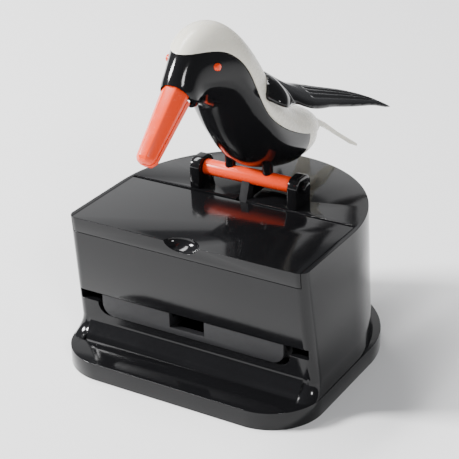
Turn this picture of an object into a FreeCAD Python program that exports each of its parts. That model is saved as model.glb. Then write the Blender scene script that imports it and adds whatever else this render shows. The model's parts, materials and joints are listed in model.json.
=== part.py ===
import FreeCAD, Part
import math
import os
import re
import Sketcher

# A desk toothpick dispenser with a pecking bird.  The bird turns on a perch above the box.  As it
# bows, a rocker inside the box pushes a tray out of the front, and the beak picks up the toothpick
# that lies across it.  Frame: +Z up, -Y is the front, the origin is the centre of the underside.

Vector = FreeCAD.Vector
X_AXIS = Vector(1, 0, 0)
Y_AXIS = Vector(0, 1, 0)
Z_AXIS = Vector(0, 0, 1)
KEEL_WIDTH = 5.2
ALONG_X = FreeCAD.Rotation(Y_AXIS, 90)

DIMENSIONS = {
    # base plate
    "plate_half": 39.2, "plate_front": 38.75, "plate_bulge": 33.0, "plate_back_start": 5.75,
    "plate_height": 5.2, "plate_corner": 15.5,
    # housing
    "top_height": 43.6, "top_half": 36.9, "foot_half": 38.3, "front_top": 29.25, "front_lean": 4.3,
    "skirt_height": 10.5, "skirt_flare": 3.2, "toe_flare": 4.3, "toe_inner": 34.2, "corner": 3.0,
    "slope_curve": 1.12, "toe_curve": 2.2, "side_end": 2.25, "back_top": 37.4, "wall": 2.0,
    "deck_edge": 2.4,
    # tray mouth in the front wall
    "mouth_half": 36.3, "mouth_top": 19.9, "mouth_bottom": 16.9, "pocket_half": 30.6,
    "pocket_bottom": 12.9, "pocket_corner": 3.4,
    # lid
    "lid_half": 35.4, "lid_thick": 2.4, "lid_rear": 2.2, "lip_bottom": 39.2, "lip_thick": 2.0,
    "scoop_half": 5.3, "scoop_back": 3.9, "scoop_down": 2.7, "scoop_wall": 1.2,
    # perch and posts
    "axle_back": 7.0, "axle_height": 49.1, "axle_bore": 2.1, "axle_size": 2.0, "post_inner": 14.1,
    "post_thick": 3.0, "post_front": 3.0, "post_back": 11.2, "post_top": 52.3, "post_round": 3.0,
    "post_peg": 5.0, "bar_half": 13.9, "bar_size": 4.5, "leg_spread": 6.0, "leg_size": 3.0,
    "leg_top": 55.5, "cap_size": 3.6, "cap_thick": 0.9,
    # drive from the bird to the tray
    "crank_length": 11.5, "crank_lean": 20.5, "crank_half": 1.2, "crank_round": 1.5, "slot_back": 15.4,
    "drive_pin": 1.8, "drive_slot": 3.1, "rocker_back": 9.75, "rocker_height": 29.0, "rocker_lean": 37.5,
    "rocker_side": 1.8, "rocker_thick": 2.6, "rocker_half": 3.4, "rocker_pin": 2.4, "rocker_top": 12.25,
    "rocker_foot": 18.9, "fork_bottom": 7.6, "foot_slot_low": 17.45, "foot_slot_high": 11.9,
    "hanger_left": 4.6, "hanger_right": 7.4, "hanger_wall": 2.0, "hanger_front": 5.4,
    "hanger_rear": 7.7, "bridge_thick": 1.6, "bridge_half": 1.8, "spring_wire": 0.7,
    "spring_radius": 2.3, "spring_leg": 7.0,
    # tray
    "tongue_half": 28.9, "tongue_top": 19.6, "tongue_bottom": 13.4, "tongue_front": 25.9,
    "tongue_corner": 3.6, "tray_floor": 13.9, "tray_sheet": 1.3, "tray_half": 26.3,
    "block_half": 24.5, "block_back": 2.5, "block_top": 19.3, "groove_back": 22.9, "groove_half": 1.25,
    "groove_floor": 17.3, "window_left": 6.7, "window_right": 4.4, "window_floor": 15.2, "window_back": 14.6,
    "drive_back": 19.45, "drive_height": 16.0, "tray_back": 19.0, "tab_left": 3.6, "tab_right": 7.6,
    "tab_back": 27.0, "lug_half": 1.2, "lug_reach": 2.2, "rail_inner": 24.9, "rail_outer": 29.4,
    "rail_top": 17.0, "rail_front": 21.8, "rail_back": 15.0,
    # hopper
    "hopper_half": 34.6, "hopper_sheet": 1.6,
    # bird
    "skin": 1.5, "proud": 0.5, "pin_back": 20.0, "pin_height": 91.0, "eye_size": 2.0, "eye_reach": 7.9,
    "beak_back": 28.75, "beak_height": 84.6, "beak_drop": 40.3, "beak_length": 19.6, "beak_root": 4.1,
    "beak_end": 2.9, "beak_gap": 0.12, "rump_back": 22.0, "rump_height": 57.0, "rump_slant": 25.0,
    "wedge_back": 20.3, "wedge_height": 52.6, "wedge_rise": 6.2,
    # fasteners and feet
    "screw_x": 33.0, "screw_front": 19.5, "screw_back": 8.0, "screw_size": 2.6, "boss_size": 6.4,
    "boss_top": 11.5, "head_size": 5.0, "head_depth": 1.8, "foot_size": 9.0, "foot_height": 1.2,
    "foot_x": 25.0, "foot_y": 27.0,
}

# The bird's body in side view: the top and bottom of each cross-section, and its half-width.
BIRD_STATIONS = [
    ((-31.1, 88.0), (-25.4, 81.0), 4.4),
    ((-29.2, 91.4), (-22.3, 80.3), 5.1),
    ((-25.9, 95.5), (-19.2, 79.9), 5.9),
    ((-22.3, 98.0), (-16.2, 78.4), 7.4),
    ((-17.4, 99.5), (-13.2, 76.4), 8.9),
    ((-11.4, 99.2), (-10.8, 73.0), 10.1),
    ((-4.8, 95.0), (-8.6, 68.8), 10.6),
    ((1.0, 88.2), (-5.6, 64.2), 11.0),
    ((6.2, 80.3), (-1.5, 59.2), 11.3),
    ((12.8, 72.8), (3.8, 53.8), 11.6),
    ((20.2, 67.3), (11.6, 50.2), 11.6),
    ((28.0, 63.2), (19.6, 48.2), 11.0),
    ((32.8, 60.9), (25.6, 47.9), 9.5),
    ((36.6, 58.8), (30.4, 49.3), 7.4),
]
# The wavy edge between the dark body and the pale back, in side view, from brow to rump.
RIM_LINE = [
    (-33.0, 95.8), (-27.4, 95.3), (-21.2, 95.2), (-16.8, 94.0), (-12.6, 90.9), (-7.8, 84.0),
    (-0.5, 71.8), (10.3, 63.7), (23.5, 58.1), (33.0, 55.8), (46.0, 53.6),
]
# The right wing: its outer edge, its inner edge and its thickness at stations from root to tip.
WING_STATIONS = [
    ((9.2, -4.0, 77.2), (5.6, -0.6, 83.6), 3.0),
    ((15.2, 4.0, 73.8), (7.0, 9.5, 78.0), 3.2),
    ((16.9, 13.0, 70.4), (7.2, 16.5, 74.6), 3.0),
    ((17.1, 23.0, 67.2), (8.2, 25.5, 71.0), 2.6),
    ((17.3, 33.0, 63.9), (9.9, 35.5, 67.2), 2.2),
    ((17.8, 43.5, 60.6), (12.3, 45.5, 63.0), 1.8),
    ((18.4, 51.5, 57.9), (15.6, 52.4, 59.3), 1.3),
    ((19.2, 57.6, 55.5), (18.6, 57.8, 55.8), 0.5),
]

doc = FreeCAD.newDocument("PeckingBird")
sheet = doc.addObject("Spreadsheet::Sheet", "Dimensions")
for row, (alias, value) in enumerate(DIMENSIONS.items(), start=1):
    sheet.set(f"A{row}", alias)
    sheet.set(f"B{row}", str(value))
    sheet.setAlias(f"B{row}", alias)
doc.recompute()

NODES = []


def size(alias):
    return float(sheet.get(alias))


def bound(formula):
    """A formula on sheet aliases, with the sheet's name in front of each."""
    def named(word):
        return "Dimensions." + word.group() if word.group() in DIMENSIONS else word.group()
    return re.sub(r"[a-z_]+", named, str(formula))


def value(formula):
    return float(sheet.evalExpression(bound(formula)))


def node(piece, label):
    """Name a finished sub-part; its file takes this name."""
    piece.Label = label
    NODES.append(piece)
    return piece


def bind(piece, **sizes):
    for prop, formula in sizes.items():
        piece.setExpression(prop, bound(formula))


def put(piece, at, turn=None):
    if turn:
        piece.Placement.Rotation = turn
    for axis, formula in zip("xyz", at):
        piece.setExpression("Placement.Base." + axis, bound(formula))
    return piece


def block(at, length, width, height):
    piece = doc.addObject("Part::Box", "block")
    bind(piece, Length=length, Width=width, Height=height)
    return put(piece, at)


def rod(at, diameter, length, turn=None):
    piece = doc.addObject("Part::Cylinder", "rod")
    bind(piece, Radius=f"({diameter}) / 2", Height=length)
    return put(piece, at, turn)


def ellipsoid(at, across, back, down):
    piece = doc.addObject("Part::Ellipsoid", "ellipsoid")
    piece.Angle1 = -90
    bind(piece, Radius1=down, Radius2=across, Radius3=back)
    return put(piece, at)


def fuse(*pieces):
    joined = doc.addObject("Part::MultiFuse", "joined")
    joined.Shapes = list(pieces)
    return joined


def cut(base, *tools):
    result = doc.addObject("Part::Cut", "cut")
    result.Base = base
    result.Tool = tools[0] if len(tools) == 1 else fuse(*tools)
    return result


def common(first, second):
    result = doc.addObject("Part::Common", "common")
    result.Base = first
    result.Tool = second
    return result


def feature(shape, name="shape"):
    piece = doc.addObject("Part::Feature", name)
    piece.Shape = shape
    return piece


def new_body(name, at=(0, 0, 0), turn=None):
    return put(doc.addObject("PartDesign::Body", name), at, turn)


def sketch_on(body, role, offset=0):
    sketch = body.newObject("Sketcher::SketchObject", body.Name + "_sketch")
    plane = next(item for item in body.Origin.OriginFeatures if item.Role == role)
    sketch.AttachmentSupport = [(plane, "")]
    sketch.MapMode = "FlatFace"
    sketch.setExpression("AttachmentOffset.Base.z", bound(offset))
    return sketch


def draw_outline(sketch, corners):
    """Close straight lines through the corners, each corner held by two bound distances."""
    first = sketch.GeometryCount
    points = [Vector(value(across), value(up), 0) for across, up in corners]
    for start, end in zip(points, points[1:] + points[:1]):
        sketch.addGeometry(Part.LineSegment(start, end), False)
    count = len(corners)
    for index in range(count):
        following = first + (index + 1) % count
        sketch.addConstraint(Sketcher.Constraint("Coincident", first + index, 2, following, 1))
    for index, (corner, point) in enumerate(zip(corners, points)):
        for kind, formula, distance in zip(("DistanceX", "DistanceY"), corner, (point.x, point.y)):
            constraint = Sketcher.Constraint(kind, -1, 1, first + index, 1, distance)
            number = sketch.addConstraint(constraint)
            sketch.setExpression(f"Constraints[{number}]", bound(formula))


def draw_circle(sketch, across, up, diameter):
    centre = Vector(value(across), value(up), 0)
    circle = sketch.addGeometry(Part.Circle(centre, Z_AXIS, value(diameter) / 2), False)
    for kind, formula, distance in zip(("DistanceX", "DistanceY"), (across, up), (centre.x, centre.y)):
        number = sketch.addConstraint(Sketcher.Constraint(kind, -1, 1, circle, 3, distance))
        sketch.setExpression(f"Constraints[{number}]", bound(formula))
    number = sketch.addConstraint(Sketcher.Constraint("Diameter", circle, value(diameter)))
    sketch.setExpression(f"Constraints[{number}]", bound(diameter))


def extruded(kind, body, role, draw, length, offset=0):
    """Pad or Pocket a sketch from one of the body's origin planes, along the plane's normal."""
    sketch = sketch_on(body, role, offset)
    draw(sketch)
    step = body.newObject("PartDesign::" + kind, body.Name + "_" + kind.lower())
    step.Profile = sketch
    step.Reversed = kind == "Pocket"
    bind(step, Length=length)
    doc.recompute()
    return step


def pad(body, role, corners, length, offset=0):
    return extruded("Pad", body, role, lambda sketch: draw_outline(sketch, corners), length, offset)


def pocket(body, role, corners, length, offset=0):
    before = body.Shape.Volume
    step = extruded("Pocket", body, role, lambda sketch: draw_outline(sketch, corners), length, offset)
    if body.Shape.Volume > before - 0.01:
        raise RuntimeError(f"pocket in {body.Name} removes nothing")
    return step


def drill(body, role, across, up, diameter, length, offset=0):
    before = body.Shape.Volume
    step = extruded("Pocket", body, role, lambda sketch: draw_circle(sketch, across, up, diameter),
                    length, offset)
    if body.Shape.Volume > before - 0.01:
        raise RuntimeError(f"drilled hole in {body.Name} removes nothing")
    return step


def rounded(body, radius, wanted):
    """Fillet the edges of the body's last feature whose middle passes the test."""
    base = body.Tip
    names = [f"Edge{number}" for number, edge in enumerate(base.Shape.Edges, start=1)
             if wanted(edge.CenterOfMass, edge)]
    if not names:
        raise RuntimeError(f"no edge to round on {body.Name}")
    fillet = body.newObject("PartDesign::Fillet", body.Name + "_fillet")
    fillet.Base = (base, names)
    bind(fillet, Radius=radius)
    doc.recompute()
    return fillet


def box_corners(left, right, bottom, top):
    return [(left, bottom), (right, bottom), (right, top), (left, top)]


def near(first, second, slack=0.05):
    return abs(first - second) < slack


def closed_curve(points):
    curve = Part.BSplineCurve()
    curve.interpolate(points, PeriodicFlag=True)
    return Part.Wire([curve.toShape()])


def housing_outline(half, front, side_end, back, height, corner):
    """Straight front and sides with rounded corners, and a back that is half an ellipse."""
    turn = corner * math.sqrt(0.5)
    start, end = Vector(-half, side_end, height), Vector(half, side_end, height)
    left, right = -half + corner, half - corner
    inner = front + corner
    edges = [
        Part.LineSegment(start, Vector(-half, inner, height)),
        Part.Arc(Vector(-half, inner, height), Vector(left - turn, inner - turn, height),
                 Vector(left, front, height)),
        Part.LineSegment(Vector(left, front, height), Vector(right, front, height)),
        Part.Arc(Vector(right, front, height), Vector(right + turn, inner - turn, height),
                 Vector(half, inner, height)),
        Part.LineSegment(Vector(half, inner, height), end),
    ]
    centre = Vector(0, side_end, height)
    if back - side_end >= half:
        ellipse = Part.Ellipse(Vector(0, back, height), start, centre)
        edges.append(Part.ArcOfEllipse(ellipse, -math.pi / 2, math.pi / 2))
    else:
        ellipse = Part.Ellipse(end, Vector(0, back, height), centre)
        edges.append(Part.ArcOfEllipse(ellipse, 0, math.pi))
    return Part.Wire(Part.__sortEdges__([edge.toShape() for edge in edges]))


def housing_stack(inset, bottom, top):
    """The housing's outer form, or its cavity when it is inset, from bottom to top."""
    upper, lower = size("top_height"), size("skirt_height")
    lean = size("front_lean") / (upper - lower)
    draft = (size("foot_half") - size("top_half")) / (upper - lower)

    def outline(height):
        drop = upper - height
        half = size("top_half") + draft * drop - inset
        front = -size("front_top") + lean * drop + inset
        back = size("back_top") + draft * drop * 0.5 - inset
        return housing_outline(half, front, -size("side_end"), back, height, size("corner") - inset * 0.9)

    return Part.makeLoft([outline(bottom), outline(top)], True, True)


def housing_foot(flare, curve):
    """The housing's lowest part, which spreads forward by the flare; a curve of 1 is a flat slope."""
    plate, skirt = size("plate_height"), size("skirt_height")
    widen = (size("foot_half") - size("top_half")) * 0.5
    front, back = -size("front_top") + size("front_lean"), size("back_top") + widen
    rings = []
    for step in range(7):
        share = step / 6
        spread = share ** curve
        rings.append(housing_outline(size("foot_half") + 0.7 * spread, front - flare * spread,
                                     -size("side_end"), back + 0.4 * spread,
                                     skirt - (skirt - plate) * share, size("corner") + spread))
    solids = [Part.makeLoft([lower, upper], True, True) for lower, upper in zip(rings, rings[1:])]
    return solids[0].multiFuse(solids[1:])


def make_base_plate():
    front_box = "plate_front - plate_corner"
    disk = doc.addObject("Part::Ellipse", "disk")
    bind(disk, MajorRadius="plate_half", MinorRadius="plate_bulge")
    put(disk, (0, "plate_back_start", 0))
    bulge = doc.addObject("Part::Extrusion", "bulge")
    bulge.Base = disk
    bulge.DirMode = "Custom"
    bulge.Dir = Z_AXIS
    bulge.Solid = True
    bind(bulge, LengthFwd="plate_height")
    thick = "plate_height"
    middle = block(("-plate_half", f"-({front_box})", 0), "2 * plate_half",
                   f"plate_back_start + {front_box}", thick)
    front = block(("plate_corner - plate_half", "-plate_front", 0),
                  "2 * (plate_half - plate_corner)", "plate_corner + 1", thick)
    corners = [rod((f"{side} * (plate_half - plate_corner)", f"-({front_box})", 0),
                   "2 * plate_corner", thick) for side in (-1, 1)]
    slab = fuse(bulge, middle, front, *corners)
    slab.Refine = True
    holes = []
    for side in (-1, 1):
        for back in ("-screw_front", "screw_back"):
            holes.append(rod((f"{side} * screw_x", back, -1), "screw_size + 0.3", "plate_height + 2"))
            holes.append(rod((f"{side} * screw_x", back, -1), "head_size + 0.6", "head_depth + 1.8"))
        for back in (-1, 0.6):
            holes.append(rod((f"{side} * foot_x", f"{back} * foot_y", -1), "foot_size + 0.1", "foot_height + 1"))
    node(cut(slab, *holes), "base_plate")


def make_housing():
    """The black housing: tapered walls, a flared foot, the fixed rear deck and the tray mouth."""
    plate, top, skirt = size("plate_height"), size("top_height"), size("skirt_height")
    wall = size("wall")
    toe = size("toe_inner")
    middle = Part.makeBox(2 * toe, 20, skirt - plate, Vector(-toe, -38, plate))
    slope = housing_foot(size("skirt_flare"), size("slope_curve")).common(middle)
    toes = housing_foot(size("toe_flare"), size("toe_curve")).cut(middle)
    body = housing_stack(0, skirt, top).fuse(toes).fuse(slope)
    cavity = housing_stack(wall, plate - 1, top - wall)
    body = body.cut(cavity)
    for side in (-1, 1):
        for boss_y in (-size("screw_front"), size("screw_back")):
            at = Vector(side * size("screw_x"), boss_y, plate)
            boss = Part.makeCylinder(size("boss_size") / 2, size("boss_top") - plate, at)
            body = body.fuse(boss)
            body = body.cut(Part.makeCylinder(size("screw_size") / 2 - 0.1, size("boss_top") - plate - 1, at))
    edge = size("deck_edge")
    lid_half = size("lid_half") + 0.15
    body = body.cut(Part.makeBox(2 * lid_half, 60, 20, Vector(-lid_half, edge - 60, size("lip_bottom") - 0.15)))
    mouth_half, mouth_low = size("mouth_half"), size("mouth_bottom")
    body = body.cut(Part.makeBox(2 * mouth_half, 20, size("mouth_top") - mouth_low,
                                 Vector(-mouth_half, -40, mouth_low)))
    pocket_half, corner = size("pocket_half"), size("pocket_corner")
    pocket_low = size("pocket_bottom")
    opening = Part.makeBox(2 * pocket_half, 20, mouth_low - pocket_low + 0.5,
                           Vector(-pocket_half, -40, pocket_low))
    lower_edges = [item for item in opening.Edges
                   if near(item.CenterOfMass.z, pocket_low) and near(abs(item.CenterOfMass.x), pocket_half)]
    body = body.cut(opening.makeFillet(corner, lower_edges))
    slot_half = size("crank_half") + 0.5
    slot_front = edge - 1
    body = body.cut(Part.makeBox(2 * slot_half, size("slot_back") - slot_front, 10,
                                 Vector(-slot_half, slot_front, top - 5)))
    for side in (-1, 1):
        peg = size("post_peg") + 0.1
        middle = side * (size("post_inner") + size("post_thick") / 2)
        body = body.cut(Part.makeBox(2.1, peg, 10, Vector(middle - 1.05, size("axle_back") - peg / 2, top - 5)))
    node(feature(body), "housing")


def make_lid():
    body = new_body("lid_plate")
    top, front = "top_height", "-front_top + 0.05"
    lip_low = "lip_bottom"
    low_front = "-front_top + 0.05 + front_lean * (top_height - lip_bottom) / (top_height - skirt_height)"
    under = "top_height - lid_thick"
    corners = [(front, top), (low_front, lip_low), (f"{low_front} + lip_thick", lip_low),
               (f"{low_front} + lip_thick", under), ("lid_rear", under), ("lid_rear", top)]
    pad(body, "YZ_Plane", corners, "2 * lid_half", "-lid_half")
    rounded(body, "lid_thick / 2 - 0.02", lambda middle, edge: near(middle.y, size("lid_rear"), 0.3)
            and edge.Length > 50)
    rounded(body, 0.5, lambda middle, edge: near(abs(middle.x), size("lid_half"))
            and middle.y < -28 and 39.5 < middle.z < 43.4)
    at = (0, "-front_top", "top_height")
    keep = block(("-lid_half", "-front_top + 0.7", 30), "2 * lid_half", 20, "top_height - 31")
    dish_wall = common(ellipsoid(at, "scoop_half + scoop_wall", "scoop_back + scoop_wall",
                                 "scoop_down + scoop_wall"), keep)
    scooped = cut(fuse(body, dish_wall), ellipsoid(at, "scoop_half", "scoop_back", "scoop_down"))
    outline = feature(housing_stack(0.05, size("skirt_height"), size("top_height")), "lid_outline")
    node(common(scooped, outline), "lid")


def make_post(side, label):
    body = new_body(label)
    left = "post_inner" if side > 0 else "-post_inner - post_thick"
    corners = box_corners("post_front", "post_back", "top_height", "post_top")
    pad(body, "YZ_Plane", corners, "post_thick", left)
    rounded(body, "post_round", lambda middle, edge: near(middle.z, size("post_top"))
            and near(edge.Length, size("post_thick")))
    peg = box_corners("axle_back - post_peg / 2", "axle_back + post_peg / 2", "top_height - wall",
                      "top_height + 1")
    pad(body, "YZ_Plane", peg, 2, f"{left} + 0.5")
    drill(body, "YZ_Plane", "axle_back", "axle_height", "axle_bore", "post_thick + 2", f"{left} - 1")
    node(body, label)


def make_perch_bar():
    bar = rod(("-bar_half", "axle_back", "axle_height"), "bar_size", "2 * bar_half", ALONG_X)
    bore = rod(("-bar_half - 1", "axle_back", "axle_height"), "axle_size", "2 * bar_half + 2", ALONG_X)
    hub = rod(("-crank_half - 0.05", "axle_back", "axle_height"), "2 * crank_round + 0.1",
              "2 * crank_half + 0.1", ALONG_X)
    notch = doc.addObject("Part::Box", "arm_notch")
    bind(notch, Length="2 * crank_half + 0.1", Width="2 * crank_round + 0.1", Height="bar_size")
    turn = FreeCAD.Rotation(X_AXIS, -size("crank_lean"))
    corner = turn.multVec(Vector(0, -size("crank_round") - 0.05, -size("bar_size")))
    notch.Placement = FreeCAD.Placement(
        Vector(-size("crank_half") - 0.05, size("axle_back"), size("axle_height")) + corner, turn)
    node(cut(bar, bore, hub, notch), "perch_bar")


def make_axle():
    shaft = rod(("-post_inner - post_thick", "axle_back", "axle_height"), "axle_size - 0.02",
                "2 * (post_inner + post_thick) + 1", ALONG_X)
    head = rod(("-post_inner - post_thick - cap_thick - 0.05", "axle_back", "axle_height"), "cap_size",
               "cap_thick", ALONG_X)
    neck = rod(("-post_inner - post_thick - cap_thick", "axle_back", "axle_height"), "axle_size - 0.02",
               "cap_thick + 1", ALONG_X)
    node(fuse(shaft, head, neck), "perch_axle")
    cap = rod(("post_inner + post_thick + 0.05", "axle_back", "axle_height"), "cap_size", "cap_thick + 0.5",
              ALONG_X)
    hole = rod(("post_inner + post_thick - 1", "axle_back", "axle_height"), "axle_size", 2.0, ALONG_X)
    node(cut(cap, hole), "axle_cap")


def make_crank():
    """An arm that hangs from the perch bar into the box, with a pin at its end."""
    turn = FreeCAD.Rotation(X_AXIS, -size("crank_lean"))
    arm = new_body("crank_arm", (0, "axle_back", "axle_height"), turn)
    pad(arm, "YZ_Plane", box_corners("-crank_round", "crank_round", "-crank_length - crank_round",
                                     "crank_round"), "2 * crank_half", "-crank_half")
    rounded(arm, "crank_round - 0.02", lambda middle, edge: near(edge.Length, 2 * size("crank_half")))
    drill(arm, "YZ_Plane", 0, 0, "axle_size", "2 * crank_half + 2", "-crank_half - 1")
    drill(arm, "YZ_Plane", 0, "-crank_length", "drive_pin", "2 * crank_half + 2", "-crank_half - 1")
    node(arm, "crank_arm")
    end = ("-crank_half", "axle_back - crank_length * sin(crank_lean * 1deg)",
           "axle_height - crank_length * cos(crank_lean * 1deg)")
    pin = rod(end, "drive_pin - 0.02", "crank_half + rocker_side + rocker_thick + 0.3", ALONG_X)
    node(pin, "crank_pin")


def make_rocker():
    """A lever with a fork at the top for the crank's pin and a slot at its foot for the tray's."""
    turn = FreeCAD.Rotation(X_AXIS, size("rocker_lean"))
    rocker = new_body("rocker", (0, "rocker_back", "rocker_height"), turn)
    pad(rocker, "YZ_Plane", box_corners("-rocker_half", "rocker_half", "-rocker_foot", "rocker_top"),
        "rocker_thick", "rocker_side")
    rounded(rocker, "rocker_half - 0.2", lambda middle, edge: near(middle.z, -size("rocker_foot"))
            and near(edge.Length, size("rocker_thick")))
    rounded(rocker, "rocker_half / 2", lambda middle, edge: near(middle.z, size("rocker_top"))
            and near(edge.Length, size("rocker_thick")))
    for low, high in (("fork_bottom", "rocker_top + 1"), ("-foot_slot_low", "-foot_slot_high")):
        pocket(rocker, "YZ_Plane", box_corners("-drive_slot / 2", "drive_slot / 2", low, high),
               "rocker_thick + 2", "rocker_side - 1")
    drill(rocker, "YZ_Plane", 0, 0, "rocker_pin + 0.1", "rocker_thick + 2", "rocker_side - 1")
    node(rocker, "rocker")
    node(rod(("-hanger_left - 0.4", "rocker_back", "rocker_height"), "rocker_pin - 0.02",
             "hanger_left + hanger_right + 0.8", ALONG_X), "rocker_pin")


def make_hanger():
    """Two side plates under the rear deck, joined behind the rocker, that hold the rocker's pin."""
    body = new_body("rocker_hanger")
    bridge = box_corners("-hanger_left", "hanger_right", "rocker_height - bridge_half",
                         "rocker_height + bridge_half")
    pad(body, "XZ_Plane", bridge, "bridge_thick", "-rocker_back - hanger_rear")
    low, high = "rocker_height - 3.4", "top_height - wall - 0.02"
    for left, right in (("-hanger_left", "-hanger_left + hanger_wall"),
                        ("hanger_right - hanger_wall", "hanger_right")):
        pad(body, "XZ_Plane", box_corners(left, right, low, high), "hanger_front + hanger_rear",
            "-rocker_back - hanger_rear")
    drill(body, "YZ_Plane", "rocker_back", "rocker_height", "rocker_pin", "hanger_left + hanger_right + 2",
          "-hanger_left - 1")
    node(body, "rocker_hanger")


def make_spring():
    """A torsion spring coiled on the rocker's pin, with one leg under the bracket's bridge."""
    wire, turns, radius = size("spring_wire"), 3.5, size("spring_radius")
    pitch = wire + 0.08
    helix = Part.makeHelix(pitch, pitch * turns, radius)
    start = helix.Vertexes[0].Point
    ring = Part.Wire([Part.makeCircle(wire / 2, start, Y_AXIS)])
    coil = Part.Wire(helix.Edges).makePipeShell([ring], True, True)
    leg = Part.makeCylinder(wire / 2, size("spring_leg"), start - Vector(0, 0.2, 0), Y_AXIS)
    spring = feature(coil.fuse(leg))
    spring.Placement = FreeCAD.Placement(Vector(-1.9, size("rocker_back"), size("rocker_height")), ALONG_X)
    node(spring, "return_spring")


def make_tray():
    tray = new_body("tray_body")
    front = "-tongue_front"
    pad(tray, "XZ_Plane", box_corners("-tongue_half", "tongue_half", "tongue_bottom", "tongue_top"), 2,
        "tongue_front - 2")
    rounded(tray, "tongue_corner", lambda middle, edge: near(middle.z, size("tongue_bottom"), 0.1)
            and near(edge.Length, 2) and near(abs(middle.x), size("tongue_half"), 0.1))
    pad(tray, "XY_Plane", box_corners("-tray_half", "tray_half", f"{front} + 1", "tray_back"), "tray_sheet",
        "tray_floor")
    pad(tray, "XY_Plane", box_corners("-block_half", "block_half", f"{front} + 1", "-block_back"),
        "block_top - tray_floor - 0.5", "tray_floor + 0.5")
    pocket(tray, "XY_Plane", box_corners(-40, 40, "-groove_back - groove_half", "-groove_back + groove_half"),
           5, "groove_floor")
    pocket(tray, "XY_Plane", box_corners("-window_left", "window_right", f"{front} - 1", "-window_back"),
           8, "window_floor")
    pocket(tray, "XY_Plane", box_corners("-window_left", "window_right", f"{front} + 2", "-window_back"),
           8, "tray_floor - 1")
    pad(tray, "XY_Plane", box_corners("-tab_left", "tab_right", "tray_back - 1", "tab_back"), "tray_sheet",
        "tray_floor")
    pad(tray, "XY_Plane", box_corners("-lug_half", "lug_half", "drive_back - lug_reach",
                                      "drive_back + lug_reach"),
        "drive_height + 1.9 - tray_floor - 0.5", "tray_floor + 0.5")
    pocket(tray, "XY_Plane", box_corners("lug_half + 0.1", "rocker_side + rocker_thick + 0.7",
                                         "drive_back - 6.4", "drive_back + 6"), 6, "tray_floor - 2")
    drill(tray, "YZ_Plane", "drive_back", "drive_height", "drive_pin", 6, -2)
    node(tray, "tray")
    node(rod(("-lug_half", "drive_back", "drive_height"), "drive_pin - 0.02",
             "lug_half + rocker_side + rocker_thick + 0.3", ALONG_X), "tray_pin")


def make_rail(side, label):
    rail = new_body(label)
    inner, outer = "rail_inner", "rail_outer"
    low_gap, high_gap = "tray_floor - 0.25", "tray_floor + tray_sheet + 0.25"
    corners = [(outer, "plate_height"), (outer, "rail_top"), (inner, "rail_top"), (inner, high_gap),
               ("tray_half + 0.3", high_gap), ("tray_half + 0.3", low_gap), (inner, low_gap),
               (inner, "plate_height")]
    corners = [(f"{side} * ({across})", up) for across, up in corners]
    pad(rail, "XZ_Plane", corners, "rail_front + rail_back", "-rail_back")
    node(rail, label)


def make_hopper():
    """A sloping floor and a rear wall that lead toothpicks down to the tray."""
    hopper = new_body("hopper")
    corners = [(-21.2, 20.0), (-2.6, 28.6), (-2.6, 40.4), ("-2.6 + hopper_sheet", 40.4),
               ("-2.6 + hopper_sheet", 27.6), (-18.5, 20.0)]
    pad(hopper, "YZ_Plane", corners, "2 * hopper_half", "-hopper_half")
    for side in (-1, 1):
        cheek = [(-21.2, 21.0), (-2.0, 29.9), (-2.0, 38.0), (-12.0, 38.0), (-21.2, 26.0)]
        inner = "hopper_half - hopper_sheet" if side > 0 else "-hopper_half"
        pad(hopper, "YZ_Plane", cheek, "hopper_sheet", inner)
    node(hopper, "hopper")


def section_ring(top, bottom, half, inset):
    """Points round one egg-shaped cross-section of the bird, shrunk by the inset, from below."""
    top = Vector(0, *top)
    bottom = Vector(0, *bottom)
    centre = (top + bottom) * 0.5
    rise = (top - bottom) * 0.5
    rise = rise * ((rise.Length - inset) / rise.Length)
    across = X_AXIS * (half - inset)
    angles = [math.tau * step / 20 for step in range(20)]
    ring = [centre + across * math.sin(angle) - rise * math.cos(angle) for angle in angles]
    return ring + ring[:1]


def skinned(rings):
    """A solid whose side is one smooth surface through the rings, with flat ends."""
    surface = Part.BSplineSurface()
    surface.interpolate(rings)
    side = surface.toShape()
    caps = []
    for end in (rings[0], rings[-1]):
        rim = next(edge for edge in side.Edges if edge.distToShape(Part.Vertex(end[5]))[0] < 1e-4
                   and edge.distToShape(Part.Vertex(end[12]))[0] < 1e-4)
        caps.append(Part.Face(Part.Wire([rim])))
    solid = Part.Solid(Part.makeShell([side] + caps))
    solid.fix(1e-4, 1e-4, 1e-3)
    if solid.Volume < 0:
        solid.reverse()
    return solid


def bird_form(inset, first=0, last=None):
    return skinned([section_ring(top, bottom, half, inset)
                    for top, bottom, half in BIRD_STATIONS[first:last]])


def above_rim():
    """Everything above the wavy edge, as a solid to intersect with."""
    points = [Vector(-20, y, z) for y, z in RIM_LINE]
    curve = Part.BSplineCurve()
    curve.interpolate(points)
    corners = [points[-1], Vector(-20, 60, 130), Vector(-20, -60, 130), points[0]]
    edges = [curve.toShape()] + [Part.LineSegment(first, last).toShape()
                                 for first, last in zip(corners, corners[1:])]
    return Part.Face(Part.Wire(edges)).extrude(X_AXIS * 40)


def beak_frame():
    """Placement whose +Z runs from the collar along the beak and whose +Y is the beak's upper side."""
    turn = FreeCAD.Rotation(X_AXIS, 90 + size("beak_drop"))
    return FreeCAD.Placement(Vector(0, -size("beak_back"), size("beak_height")), turn)


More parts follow.
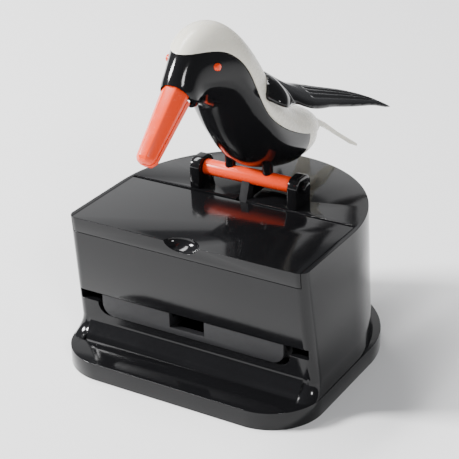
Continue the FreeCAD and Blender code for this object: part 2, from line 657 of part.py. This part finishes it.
def beak_form():
    """The whole beak in its own frame: eight soft facets, narrowing to a blunt tip."""
    root, end, length = size("beak_root"), size("beak_end"), size("beak_length")
    stations = [(-3.0, root - 0.1), (0, root), (0.55 * length, root + (end - root) * 0.55),
                (0.93 * length, end + 0.05), (0.98 * length, end * 0.8), (length, end * 0.45)]
    rings = []
    for along, radius in stations:
        corners = [Vector(radius * math.cos(angle), radius * math.sin(angle), along)
                   for angle in (math.tau * (step + 0.5) / 8 for step in range(8))]
        rings.append(Part.makePolygon(corners + corners[:1]))
    return Part.makeLoft(rings, True, True)


def make_beak():
    half = size("beak_gap")
    length = size("beak_length") + 5
    upper_box = Part.makeBox(20, 10, length, Vector(-10, half, -4))
    lower_box = Part.makeBox(20, 10, length, Vector(-10, -10 - half, 0.2))
    beak = beak_form()
    upper = feature(beak.common(upper_box))
    upper.Placement = beak_frame()
    node(upper, "beak_upper")
    trimmed = beak.common(lower_box).cut(Part.makeBox(20, 5, 6, Vector(-10, -8.1, -3)))
    reach = math.hypot(size("beak_back") - size("pin_back"), size("pin_height") - size("beak_height"))
    tang = Part.makeBox(3.2, 2.6, reach + 0.4, Vector(-1.6, -2.9 - half, -reach))
    hub = Part.makeCylinder(2.3, 3.2, Vector(-1.6, -0.78, -reach), X_AXIS)
    jaw = trimmed.fuse(tang).fuse(hub)
    jaw = jaw.cut(Part.makeCylinder(size("eye_size") / 2, 20, Vector(-10, -0.78, -reach), X_AXIS))
    lower = feature(jaw)
    lower.Placement = beak_frame()
    node(lower, "beak_lower")


def eye_place():
    """The pin's centre line, where the beak's seam line meets the head."""
    frame = beak_frame()
    reach = math.hypot(size("beak_back") - size("pin_back"), size("pin_height") - size("beak_height"))
    return frame.multVec(Vector(0, -0.78, -reach))


def make_eye_pin():
    centre = eye_place()
    reach = size("eye_reach")
    pin = doc.addObject("Part::Cylinder", "eye_pin")
    bind(pin, Radius="eye_size / 2 - 0.02", Height="2 * eye_reach")
    pin.Placement = FreeCAD.Placement(Vector(-reach, centre.y, centre.z), ALONG_X)
    node(pin, "eye_pin")


def wing_ring(outer, inner, thick):
    outer, inner = Vector(*outer), Vector(*inner)
    centre = (outer + inner) * 0.5
    chord = (outer - inner) * 0.5
    span = Vector(0.12, 0.92, -0.37)
    lift = chord.cross(span)
    lift.normalize()
    return closed_curve([centre + chord * math.cos(angle) + lift * (math.sin(angle) * thick / 2)
                         for angle in (math.tau * step / 12 for step in range(12))])


def wing_form():
    return Part.makeLoft([wing_ring(*station) for station in WING_STATIONS], True, False)


def peg_form(side, grow=0.0):
    return Part.makeCylinder(1.6 + grow, 6.0, Vector(side * 6.0, -0.8, 79.6), Vector(side, 0, 0))


def mirrored(shape):
    return shape.mirror(Vector(0, 0, 0), X_AXIS)


def tail_form():
    """A forked tail: two tapering prongs and a keel that closes the rump."""
    sections = [((0.0, 36.0, 59.6), (6.4, 35.2, 57.2), 1.4), ((0.0, 42.0, 55.6), (5.9, 41.8, 53.6), 1.4),
                ((1.6, 48.0, 50.6), (6.2, 48.1, 48.9), 1.3), ((5.3, 54.5, 45.0), (7.6, 54.5, 43.8), 1.1),
                ((7.9, 57.6, 42.0), (8.6, 57.6, 41.6), 0.7)]
    rings = []
    for inner, outer, thick in sections:
        inner, outer = Vector(*inner), Vector(*outer)
        drop = Vector(0, -0.35, -0.94) * thick
        corners = [inner, outer, outer + drop, inner + drop]
        rings.append(Part.makePolygon(corners + corners[:1]))
    prong = Part.makeLoft(rings, True, True)
    keel_side = [Vector(0, 33.0, 57.2), Vector(0, 45.8, 51.2), Vector(0, 43.0, 50.4), Vector(0, 33.0, 54.4),
                 Vector(0, 30.0, 55.0)]
    keel = Part.Face(Part.makePolygon(keel_side + keel_side[:1])).extrude(X_AXIS * KEEL_WIDTH)
    keel.translate(X_AXIS * (-KEEL_WIDTH / 2))
    return prong.fuse(mirrored(prong)).fuse(keel)


def behind_rump():
    """Everything behind the slanting end of the dark body."""
    box = Part.makeBox(60, 40, 60, Vector(-30, 0, -30))
    box.rotate(Vector(0, 0, 0), X_AXIS, -size("rump_slant"))
    box.translate(Vector(0, size("rump_back"), size("rump_height")))
    return box


def make_bird():
    outer = bird_form(0)
    proud = bird_form(-size("proud"))
    hollow = bird_form(size("skin"), 1)
    upper = above_rim()
    frame = beak_frame()
    mouth = Part.makeCylinder(size("beak_root") + 0.25, 12, Vector(0, 0, -12), Z_AXIS)
    mouth.Placement = frame
    swing = Part.makeBox(3.8, 9, 14, Vector(-1.9, -9, -9.5))
    swing.Placement = frame
    centre = eye_place()
    pin_hole = Part.makeCylinder(size("eye_size") / 2 + 0.03, 40, Vector(-20, centre.y, centre.z), X_AXIS)
    bar_room = Part.makeCylinder(size("bar_size") / 2 + 0.05, 40, Vector(-20, size("axle_back"),
                                                                     size("axle_height")), X_AXIS)
    dark = outer.cut(hollow).cut(upper).cut(mouth).cut(swing).cut(pin_hole)
    for side in (-1, 1):
        foot = Vector(side * size("leg_spread"), size("axle_back"), size("axle_height"))
        dark = dark.fuse(Part.makeCylinder(size("leg_size") / 2, size("leg_top") - foot.z, foot))
    dark = dark.cut(bar_room)
    rear = behind_rump()
    slant = math.radians(size("rump_slant"))
    ahead = rear.copy()
    ahead.translate(Vector(0, -math.cos(slant), math.sin(slant)) * size("skin"))
    end_wall = outer.common(ahead).cut(upper)
    dark = dark.fuse(end_wall).cut(rear)
    dark = max(dark.Solids, key=lambda solid: solid.Volume)
    node(feature(dark), "bird_body")
    pale = proud.cut(hollow).common(upper)
    for side in (-1, 1):
        pale = pale.cut(peg_form(side, 0.04))
    pale = max(pale.Solids, key=lambda solid: solid.Volume)
    node(feature(pale), "back_shell")
    clear = bird_form(-size("proud") - 0.04)
    for side, label in ((1, "wing_right"), (-1, "wing_left")):
        blade = wing_form()
        if side < 0:
            blade = mirrored(blade)
        blade = blade.cut(clear)
        blade = max(blade.Solids, key=lambda solid: solid.Volume)
        wing = blade.fuse(peg_form(side))
        wing = max(wing.Solids, key=lambda solid: solid.Volume)
        node(feature(wing), label)
    covered = above_rim()
    covered.translate(Vector(0, 0, -0.1))
    below = Part.makeBox(60, 60, 30, Vector(-30, -10, -30))
    below.rotate(Vector(0, 0, 0), X_AXIS, size("wedge_rise"))
    below.translate(Vector(0, size("wedge_back"), size("wedge_height")))
    plug_space = rear.cut(covered).cut(below)
    tail = tail_form().cut(clear.cut(plug_space)).fuse(outer.common(plug_space))
    tail = max(tail.Solids, key=lambda solid: solid.Volume)
    node(feature(tail), "tail")


def make_screws():
    screws = []
    for side in (-1, 1):
        for back in ("-screw_front", "screw_back"):
            shank = rod((f"{side} * screw_x", back, "head_depth"), "screw_size - 0.25",
                        "boss_top - head_depth - 1.6")
            head = rod((f"{side} * screw_x", back, 0.5), "head_size", "head_depth - 0.3")
            screws.append(fuse(shank, head))
    node(fuse(*screws), "base_screws")


def make_feet():
    feet = [rod((f"{across} * foot_x", f"{back} * foot_y", 0), "foot_size", "foot_height")
            for across in (-1, 1) for back in (-1, 0.6)]
    node(fuse(*feet), "rubber_feet")


def main():
    make_base_plate()
    make_housing()
    make_lid()
    make_post(-1, "post_left")
    make_post(1, "post_right")
    make_perch_bar()
    make_axle()
    make_crank()
    make_rocker()
    make_hanger()
    make_spring()
    make_tray()
    make_rail(-1, "rail_left")
    make_rail(1, "rail_right")
    make_hopper()
    make_beak()
    make_eye_pin()
    make_bird()
    make_screws()
    make_feet()
    doc.recompute()
    for item in doc.Objects:
        if "Invalid" in item.State or "Error" in item.State:
            raise RuntimeError(f"{item.Label} failed: {item.State}")
    os.makedirs("parts", exist_ok=True)
    for piece in NODES:
        shape = piece.Shape
        if shape.isNull() or not shape.isValid():
            raise RuntimeError(f"{piece.Label} has no valid shape")
        box = shape.optimalBoundingBox()
        print(f"{piece.Label}: {len(shape.Solids)} solids, {shape.Volume:.0f} mm3, "
              f"y {box.YMin:.1f}..{box.YMax:.1f}, z {box.ZMin:.1f}..{box.ZMax:.1f}")
        shape.exportStep(f"parts/{piece.Label}.step")


main()
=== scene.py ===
import json
import math

import bpy
from bpy.props import FloatProperty, FloatVectorProperty, PointerProperty
from mathutils import Matrix, Vector


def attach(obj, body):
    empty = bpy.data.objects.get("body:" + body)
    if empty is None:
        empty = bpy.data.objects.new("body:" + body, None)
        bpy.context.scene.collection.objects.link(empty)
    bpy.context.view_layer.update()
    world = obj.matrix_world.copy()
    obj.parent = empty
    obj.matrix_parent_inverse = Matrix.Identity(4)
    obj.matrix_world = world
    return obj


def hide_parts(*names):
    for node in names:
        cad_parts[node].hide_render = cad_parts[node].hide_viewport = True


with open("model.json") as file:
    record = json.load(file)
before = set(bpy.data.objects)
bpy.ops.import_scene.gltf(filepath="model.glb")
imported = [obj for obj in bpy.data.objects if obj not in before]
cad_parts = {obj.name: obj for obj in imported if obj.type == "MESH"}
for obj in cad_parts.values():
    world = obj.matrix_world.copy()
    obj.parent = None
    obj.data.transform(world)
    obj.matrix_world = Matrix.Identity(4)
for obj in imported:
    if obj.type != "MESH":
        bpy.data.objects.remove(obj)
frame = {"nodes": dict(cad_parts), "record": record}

bl_info = {
    "name": "Pecking Bird Dispenser",
    "version": (1, 0, 0),
    "blender": (4, 5, 0),
    "location": "View3D > Sidebar > Bird",
    "description": "Finishes the parts of a desk dispenser with a pecking bird",
    "category": "Object",
}

MM = 0.001
FINISHES = {}
# The beak's root, the angle from straight down at which it points, and where the lower half's hub ends.
BEAK_ROOT = Vector((0, -28.75, 84.6)) * MM
BEAK_TILT = math.radians(49.7)
HUB_END = 0.6 * MM
# Flat stretches within this angle are merged on a copy, and edges softer than this stay smooth.
FLAT_ANGLE = math.radians(0.4)
SMOOTH_ANGLE = math.radians(35.0)
MERGE_GAP = 0.004 * MM
BEVEL_STEPS = 3
RELAX_ROUNDS = 6
# The stage: the lamps' places, sides and powers, the room's glow and the camera's lens and axes.
FLOOR_SIDE = 6.0
ROOM_TONE = (0.93, 0.95, 1.0, 1.0)
ROOM_GLOW = 0.25
LAMPS = (
    ("window", (-0.62, 0.96, 0.50), (1.1, 0.55), 1.6),
    ("key", (-0.98, -0.55, 0.70), (0.3, 0.3), 44.0),
    ("side_fill", (0.85, -0.75, 0.75), (0.25, 0.25), 8.0),
    ("overhead", (-0.60, 0.10, 1.10), (0.9, 0.22), 16.0),
)
LAMP_AIM = Vector((0, 0, 0.05))
LENS = 117.65
SENSOR = 36.0
CAMERA_PLACE = (0.193675, -0.322727, 0.219572)
CAMERA_RIGHT = Vector((0.8595, 0.5109, -0.0204))
CAMERA_UP = Vector((-0.2088, 0.3872, 0.8981))
CAMERA_BACK = Vector((0.4667, -0.7676, 0.4395))
# The wing's outer and inner edge at stations from its root to its tip, in millimetres.
WING_OUTER = ((-4.0, 9.2, 77.2), (4.0, 15.2, 73.8), (13.0, 16.9, 70.4), (23.0, 17.1, 67.2),
              (33.0, 17.3, 63.9), (43.5, 17.8, 60.6), (51.5, 18.4, 57.9), (57.6, 19.2, 55.5))
WING_INNER = ((-0.6, 5.6, 83.6), (9.5, 7.0, 78.0), (16.5, 7.2, 74.6), (25.5, 8.2, 71.0),
              (35.5, 9.9, 67.2), (45.5, 12.3, 63.0), (52.4, 15.6, 59.3), (57.8, 18.6, 55.8))
# Grooves between feathers: where each starts and ends along the wing, and its share of the way across.
FEATHERS = ((16.0, 50.0, 0.24, 0.30), (17.0, 52.0, 0.44, 0.48), (18.0, 54.0, 0.63, 0.66),
            (20.0, 46.0, 0.82, 0.84))
# A short cut across the feathers: how far back it lies, and the part of the width it spans.
NOTCH_BACK = 42.0
NOTCH_SPAN = (0.38, 0.72)
NOTCH_SLANT = 3.0
NOTCH_WIDTH = 0.45
GROOVE_WIDTH = 0.045
GROOVE_FADE = 2.0
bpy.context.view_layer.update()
FINISH_OF = {part["node"]: part["material_slot"] for part in frame["record"]["subparts"]}
BODY_OF = {node: body for body, nodes in frame["record"]["behaviour"]["bodies"].items()
           for node in nodes}


# ---------------------------------------------------------------- settings

def length(name, description, default):
    return FloatProperty(name=name, description=description, default=default * MM, min=0.0,
                         unit="LENGTH")


def colour(name, description, default):
    return FloatVectorProperty(name=name, description=description, default=default, size=3,
                               min=0.0, max=1.0, subtype="COLOR")


class BirdColours(bpy.types.PropertyGroup):
    black: colour("Black", "Gloss black plastic", (0.0045, 0.0045, 0.005))
    ivory: colour("Ivory", "Pale back and tail", (0.80, 0.77, 0.67))
    orange: colour("Orange", "Beak, eye and perch", (0.86, 0.058, 0.010))
    inner: colour("Inner", "Plain plastic inside the box", (0.010, 0.010, 0.011))
    floor: colour("Floor", "The floor under the object", (0.95, 0.95, 0.95))


class BirdSizes(bpy.types.PropertyGroup):
    plate_edge: length("Plate edge", "Rounding on the base plate's edges", 0.8)
    box_edge: length("Box edge", "Rounding on the housing's edges", 0.35)
    lid_edge: length("Lid edge", "Rounding on the lid's edges", 0.4)
    post_edge: length("Post edge", "Rounding on the perch's posts and caps", 0.45)
    bar_edge: length("Bar edge", "Rounding on the perch bar's ends", 0.7)
    beak_edge: length("Beak edge", "Softening of the beak's facets", 0.5)
    eye_edge: length("Eye edge", "Rounding on the eyes", 0.35)
    rim_edge: length("Rim edge", "Rounding on the rim of the pale back", 0.3)
    tail_edge: length("Tail edge", "Softening of the tail's edges", 0.2)
    tray_edge: length("Tray edge", "Rounding on the tray", 0.3)
    groove: length("Groove", "Depth of the grooves between the wing's feathers", 0.32)
    grain: length("Wing grain", "Size of the mesh that the wings are carved in", 0.3)


# ---------------------------------------------------------------- shader wiring

class Wire:
    """A number on a socket; arithmetic on it adds Math nodes."""

    def __init__(self, board, socket):
        self.board = board
        self.socket = socket

    def _math(self, operation, first, second):
        return self.board.add("ShaderNodeMath", {"operation": operation}, {0: first, 1: second})

    def __add__(self, other):
        return self._math("ADD", self, other)

    def __radd__(self, other):
        return self._math("ADD", other, self)

    def __mul__(self, other):
        return self._math("MULTIPLY", self, other)

    def __rmul__(self, other):
        return self._math("MULTIPLY", other, self)


class Board:
    """The node tree of one material."""

    def __init__(self, name):
        self.material = bpy.data.materials.new(name)
        self.material.use_nodes = True
        self.tree = self.material.node_tree
        self.shader = self.tree.nodes["Principled BSDF"]

    def add(self, kind, settings, sockets, output=0):
        node = self.tree.nodes.new(kind)
        for name, setting in settings.items():
            if name == "stops":
                self._ramp(node, setting)
            else:
                setattr(node, name, setting)
        self.feed(node, sockets)
        return Wire(self, node.outputs[output])

    def _ramp(self, node, stops):
        elements = node.color_ramp.elements
        while len(elements) < len(stops):
            elements.new(0.5)
        for element, (place, tone) in zip(elements, stops):
            element.position = place
            element.color = tone

    def feed(self, node, sockets):
        for name, given in sockets.items():
            if isinstance(given, Wire):
                self.tree.links.new(given.socket, node.inputs[name])
            else:
                node.inputs[name].default_value = given

    def place(self):
        return self.add("ShaderNodeTexCoord", {}, {}, output="Object")

    def noise(self, scale, detail=2.0, rough=0.5, stretch=None):
        where = self.place()
        if stretch:
            where = self.add("ShaderNodeMapping", {}, {"Vector": where, "Scale": stretch})
        return self.add("ShaderNodeTexNoise", {}, {"Vector": where, "Scale": scale,
                                                   "Detail": detail, "Roughness": rough})

    def ramp(self, factor, stops):
        stops = [(place, (level, level, level, 1.0)) for place, level in stops]
        return self.add("ShaderNodeValToRGB", {"stops": stops}, {"Fac": factor})

    def mix(self, factor, first, second):
        colours = {"Factor": factor, 6: first, 7: second}
        return self.add("ShaderNodeMix", {"data_type": "RGBA"}, colours, output=2)

    def bump(self, height, strength, distance, under=None):
        sockets = {"Height": height, "Strength": strength, "Distance": distance}
        if under:
            sockets["Normal"] = under
        return self.add("ShaderNodeBump", {}, sockets)


def tinted(tone, gain):
    return (*(min(1.0, part * gain) for part in tone), 1.0)


def moulded_plastic(name, tone, deep, rough, wave=0.10, scatter=0.0, specular=0.5):
    """Injection-moulded plastic: faint flow waves, fine grain and light handling marks."""
    board = Board(name)
    flow = board.noise(38.0, 1.0)
    cloud = board.noise(60.0, 2.0)
    grain = board.noise(5200.0, 1.0)
    marks = board.noise(700.0, 4.0, 0.7, stretch=(1.0, 0.35, 1.0))
    waves = board.bump(flow, wave, 0.0012)
    fine = board.bump(grain, 0.05, 0.00003, under=waves)
    shade = board.mix(cloud, tinted(tone, 1.0), tinted(tone, deep))
    smudge = board.ramp(marks, [(0.42, 0.0), (0.72, 1.0)])
    board.feed(board.shader, {
        "Base Color": shade,
        "Roughness": rough + smudge * (rough * 0.45) + cloud * 0.03,
        "Normal": fine,
        "IOR": 1.49,
        "Specular IOR Level": specular,
        "Subsurface Weight": scatter,
        "Subsurface Radius": (0.6, 0.5, 0.35),
        "Subsurface Scale": 0.0015,
    })
    return board.material


def drawn_steel(name):
    """Drawn wire and turned pins: streaks along X with slightly varied gloss."""
    board = Board(name)
    streaks = board.noise(900.0, 3.0, 0.6, stretch=(0.06, 1.0, 1.0))
    tone = board.mix(streaks, (0.52, 0.52, 0.54, 1.0), (0.68, 0.68, 0.69, 1.0))
    board.feed(board.shader, {
        "Base Color": tone,
        "Metallic": 1.0,
        "Roughness": 0.22 + streaks * 0.16,
        "Normal": board.bump(streaks, 0.12, 0.00004),
    })
    return board.material


def foot_rubber(name):
    """Matt rubber with a fine pebbled grain and a little dust."""
    board = Board(name)
    pebble = board.noise(2600.0, 2.0)
    dust = board.noise(420.0, 3.0)
    board.feed(board.shader, {
        "Base Color": board.mix(dust, (0.018, 0.018, 0.018, 1.0), (0.05, 0.048, 0.045, 1.0)),
        "Roughness": 0.66 + dust * 0.2,
        "Normal": board.bump(pebble, 0.3, 0.00006),
    })
    return board.material


def make_finishes(colours):
    return {
        "gloss_black": moulded_plastic("gloss_black_plastic", colours.black, 1.5, 0.09,
                                       wave=0.05, specular=0.3),
        "ivory": moulded_plastic("ivory_plastic", colours.ivory, 0.94, 0.22, scatter=0.12),
        "orange": moulded_plastic("orange_plastic", colours.orange, 0.90, 0.2, specular=0.35),
        "inner_plastic": moulded_plastic("inner_plastic", colours.inner, 1.4, 0.38, specular=0.3),
        "steel": drawn_steel("drawn_steel"),
        "pad_rubber": foot_rubber("foot_rubber"),
    }


def finish(slot_name):
    """The material for one of the record's slots, made on first use."""
    if slot_name not in FINISHES:
        FINISHES.update(make_finishes(bpy.context.scene.bird_colours))
    return FINISHES[slot_name]


def wear(piece, slot_name):
    piece.data.materials.clear()
    piece.data.materials.append(finish(slot_name))
    return piece


# ---------------------------------------------------------------- modelling by hand

def clear_selection():
    if bpy.context.mode != "OBJECT":
        bpy.ops.object.mode_set(mode="OBJECT")
    bpy.ops.object.select_all(action="DESELECT")


def hold(piece):
    """Make the piece the only selected object."""
    clear_selection()
    piece.select_set(True)
    bpy.context.view_layer.objects.active = piece
    return piece


def copied(node, name):
    """A merged copy of a CAD node's mesh, to be finished further."""
    piece = bpy.data.objects.new(name, frame["nodes"][node].data.copy())
    bpy.context.scene.collection.objects.link(piece)
    hold(piece)
    bpy.ops.object.mode_set(mode="EDIT")
    bpy.ops.mesh.select_all(action="SELECT")
    bpy.ops.mesh.remove_doubles(threshold=MERGE_GAP)
    bpy.ops.mesh.dissolve_limited(angle_limit=FLAT_ANGLE)
    bpy.ops.object.mode_set(mode="OBJECT")
    return piece


def rounded(piece, width, angle):
    """Round the piece's sharp edges with a bevel and smooth the rest."""
    hold(piece)
    bevel = piece.modifiers.new("edges", "BEVEL")
    bevel.width = width
    bevel.segments = BEVEL_STEPS
    bevel.limit_method = "ANGLE"
    bevel.angle_limit = math.radians(angle)
    bpy.ops.object.modifier_apply(modifier=bevel.name)
    bpy.ops.object.shade_smooth_by_angle(angle=SMOOTH_ANGLE)
    return piece


def finished_copy(node, name, width, angle=32.0):
    """A rounded copy of a CAD node that stands in its place, with its finish and its body."""
    piece = rounded(copied(node, name), width, angle)
    wear(piece, FINISH_OF[node])
    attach(piece, BODY_OF[node])
    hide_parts(node)
    return piece


def between(table, back, column):
    """Read a column of a table of stations at a distance back along the wing."""
    rows = [(row[0], row[column]) for row in table]
    if back <= rows[0][0]:
        return rows[0][1]
    for (low, first), (high, second) in zip(rows, rows[1:]):
        if back <= high:
            return first + (second - first) * (back - low) / (high - low)
    return rows[-1][1]


def groove_depth(back, share):
    """How deep the grooves lie at a place on the wing, from 0 to 1."""
    depth = 0.0
    for start, end, from_share, to_share in FEATHERS:
        if start < back < end:
            middle = from_share + (to_share - from_share) * (back - start) / (end - start)
            fade = min(1.0, (back - start) / GROOVE_FADE, (end - back) / GROOVE_FADE)
            away = (share - middle) / GROOVE_WIDTH
            depth = max(depth, fade * math.exp(-away * away))
    if NOTCH_SPAN[0] < share < NOTCH_SPAN[1]:
        away = (back - NOTCH_BACK - NOTCH_SLANT * (share - 0.5)) / NOTCH_WIDTH
        depth = max(depth, math.exp(-away * away))
    return depth


def carve_feathers(wing, side, depth):
    """Press the feather grooves into the wing's upper face."""
    mesh = wing.data
    mesh.update()
    moves = []
    for vertex in mesh.vertices:
        x, y, z = (part / MM for part in vertex.co)
        x *= side
        outer, inner = between(WING_OUTER, y, 1), between(WING_INNER, y, 1)
        share = (x - outer) / (inner - outer) if abs(inner - outer) > 0.01 else 0.0
        normal = vertex.normal
        facing = max(0.0, normal.z * 0.8 + side * normal.x * 0.6)
        moves.append(normal * (-depth * groove_depth(y, share) * min(1.0, facing * 2.0)))
    for vertex, move in zip(mesh.vertices, moves):
        vertex.co += move
    mesh.update()


# ---------------------------------------------------------------- operators

def lay_floor(tone):
    clear_selection()
    bpy.ops.mesh.primitive_plane_add(size=FLOOR_SIDE, location=(0, 0, 0))
    floor = bpy.context.object
    floor.name = "floor"
    board = Board("pale_floor")
    cloud = board.noise(3.0, 2.0)
    board.feed(board.shader, {"Base Color": board.mix(cloud, tinted(tone, 1.0), tinted(tone, 0.98)),
                              "Roughness": 0.75 + cloud * 0.1})
    floor.data.materials.append(board.material)


def light_room():
    world = bpy.data.worlds.new("soft_room")
    bpy.context.scene.world = world
    world.use_nodes = True
    backdrop = world.node_tree.nodes["Background"]
    backdrop.inputs["Color"].default_value = ROOM_TONE
    backdrop.inputs["Strength"].default_value = ROOM_GLOW
    for name, at, sides, power in LAMPS:
        lamp = bpy.data.lights.new(name, "AREA")
        lamp.shape = "RECTANGLE"
        lamp.size, lamp.size_y = sides
        lamp.energy = power
        holder = bpy.data.objects.new(name, lamp)
        bpy.context.scene.collection.objects.link(holder)
        holder.location = at
        aim = LAMP_AIM - Vector(at)
        holder.rotation_euler = aim.to_track_quat("-Z", "Y").to_euler()


def place_camera():
    lens = bpy.data.cameras.new("camera")
    lens.lens = LENS
    lens.sensor_width = SENSOR
    camera = bpy.data.objects.new("camera", lens)
    bpy.context.scene.collection.objects.link(camera)
    turn = Matrix((CAMERA_RIGHT, CAMERA_UP, CAMERA_BACK)).transposed()
    camera.rotation_euler = turn.to_euler()
    camera.location = CAMERA_PLACE
    bpy.context.scene.camera = camera


class BIRD_OT_stage(bpy.types.Operator):
    """Set the floor, the lights and the camera"""

    bl_idname = "bird.stage"
    bl_label = "Stage"

    def execute(self, context):
        lay_floor(context.scene.bird_colours.floor)
        light_room()
        place_camera()
        return {"FINISHED"}


class BIRD_OT_finishes(bpy.types.Operator):
    """Give every part of the frame its finish"""

    bl_idname = "bird.finishes"
    bl_label = "Finishes"

    def execute(self, context):
        for name, node in frame["nodes"].items():
            node.data.materials.clear()
            node.data.materials.append(finish(FINISH_OF[name]))
        return {"FINISHED"}


class BIRD_OT_box(bpy.types.Operator):
    """Round the edges of the base plate, the housing, the lid and the tray"""

    bl_idname = "bird.box"
    bl_label = "Box"

    def execute(self, context):
        sizes = context.scene.bird_sizes
        finished_copy("base_plate", "plate_body", sizes.plate_edge)
        finished_copy("housing", "housing_body", sizes.box_edge, angle=40.0)
        finished_copy("lid", "lid_cover", sizes.lid_edge, angle=40.0)
        finished_copy("tray", "tray_rounded", sizes.tray_edge, angle=50.0)
        return {"FINISHED"}


class BIRD_OT_perch(bpy.types.Operator):
    """Round the posts, the perch bar and the caps on its axle"""

    bl_idname = "bird.perch"
    bl_label = "Perch"

    def execute(self, context):
        sizes = context.scene.bird_sizes
        for node in ("post_left", "post_right", "axle_cap", "perch_axle"):
            finished_copy(node, f"{node}_rounded", sizes.post_edge, angle=50.0)
        finished_copy("perch_bar", "bar_rounded", sizes.bar_edge, angle=60.0)
        return {"FINISHED"}


class BIRD_OT_beak(bpy.types.Operator):
    """Soften the beak's facets and darken the lower half's hub inside the head"""

    bl_idname = "bird.beak"
    bl_label = "Beak"

    def execute(self, context):
        sizes = context.scene.bird_sizes
        finished_copy("beak_upper", "beak_top", sizes.beak_edge, angle=20.0)
        lower = finished_copy("beak_lower", "beak_bottom", sizes.beak_edge, angle=20.0)
        lower.data.materials.append(finish("gloss_black"))
        along = Vector((0, -math.sin(BEAK_TILT), -math.cos(BEAK_TILT)))
        for face in lower.data.polygons:
            if (face.center - BEAK_ROOT).dot(along) < HUB_END:
                face.material_index = 1
        finished_copy("eye_pin", "eyes", sizes.eye_edge, angle=50.0)
        return {"FINISHED"}


class BIRD_OT_wings(bpy.types.Operator):
    """Carve the feathers into both wings"""

    bl_idname = "bird.wings"
    bl_label = "Wings"

    def execute(self, context):
        sizes = context.scene.bird_sizes
        for side, node in ((1, "wing_right"), (-1, "wing_left")):
            wing = copied(node, f"{node}_feathered")
            hold(wing)
            remesh = wing.modifiers.new("carve", "REMESH")
            remesh.mode = "VOXEL"
            remesh.voxel_size = sizes.grain
            bpy.ops.object.modifier_apply(modifier=remesh.name)
            relax = wing.modifiers.new("relax", "SMOOTH")
            relax.factor = 0.5
            relax.iterations = RELAX_ROUNDS
            bpy.ops.object.modifier_apply(modifier=relax.name)
            bpy.ops.object.shade_smooth()
            carve_feathers(wing, side, sizes.groove)
            wear(wing, FINISH_OF[node])
            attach(wing, BODY_OF[node])
            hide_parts(node)
        return {"FINISHED"}


class BIRD_OT_back(bpy.types.Operator):
    """Round the pale back's rim and soften the tail's edges"""

    bl_idname = "bird.back"
    bl_label = "Back and Tail"

    def execute(self, context):
        sizes = context.scene.bird_sizes
        finished_copy("back_shell", "back_rounded", sizes.rim_edge, angle=48.0)
        finished_copy("tail", "tail_softened", sizes.tail_edge, angle=40.0)
        return {"FINISHED"}


class BIRD_PT_panel(bpy.types.Panel):
    """The parts of the dispenser"""

    bl_idname = "BIRD_PT_panel"
    bl_label = "Pecking Bird"
    bl_space_type = "VIEW_3D"
    bl_region_type = "UI"
    bl_category = "Bird"

    def draw(self, context):
        for group in (context.scene.bird_colours, context.scene.bird_sizes):
            for name in group.bl_rna.properties.keys():
                if name not in {"rna_type", "name"}:
                    self.layout.prop(group, name)
        for operator in OPERATORS:
            self.layout.operator(operator.bl_idname)


OPERATORS = (BIRD_OT_stage, BIRD_OT_finishes, BIRD_OT_box, BIRD_OT_perch, BIRD_OT_beak,
             BIRD_OT_wings, BIRD_OT_back)
CLASSES = (BirdColours, BirdSizes, *OPERATORS, BIRD_PT_panel)


def register():
    for item in CLASSES:
        bpy.utils.register_class(item)
    bpy.types.Scene.bird_colours = PointerProperty(type=BirdColours)
    bpy.types.Scene.bird_sizes = PointerProperty(type=BirdSizes)


def unregister():
    del bpy.types.Scene.bird_sizes
    del bpy.types.Scene.bird_colours
    for item in reversed(CLASSES):
        bpy.utils.unregister_class(item)


def main():
    register()
    bpy.ops.bird.stage()
    bpy.ops.bird.finishes()
    bpy.ops.bird.box()
    bpy.ops.bird.perch()
    bpy.ops.bird.beak()
    bpy.ops.bird.wings()
    bpy.ops.bird.back()


if __name__ == "__main__":
    main()
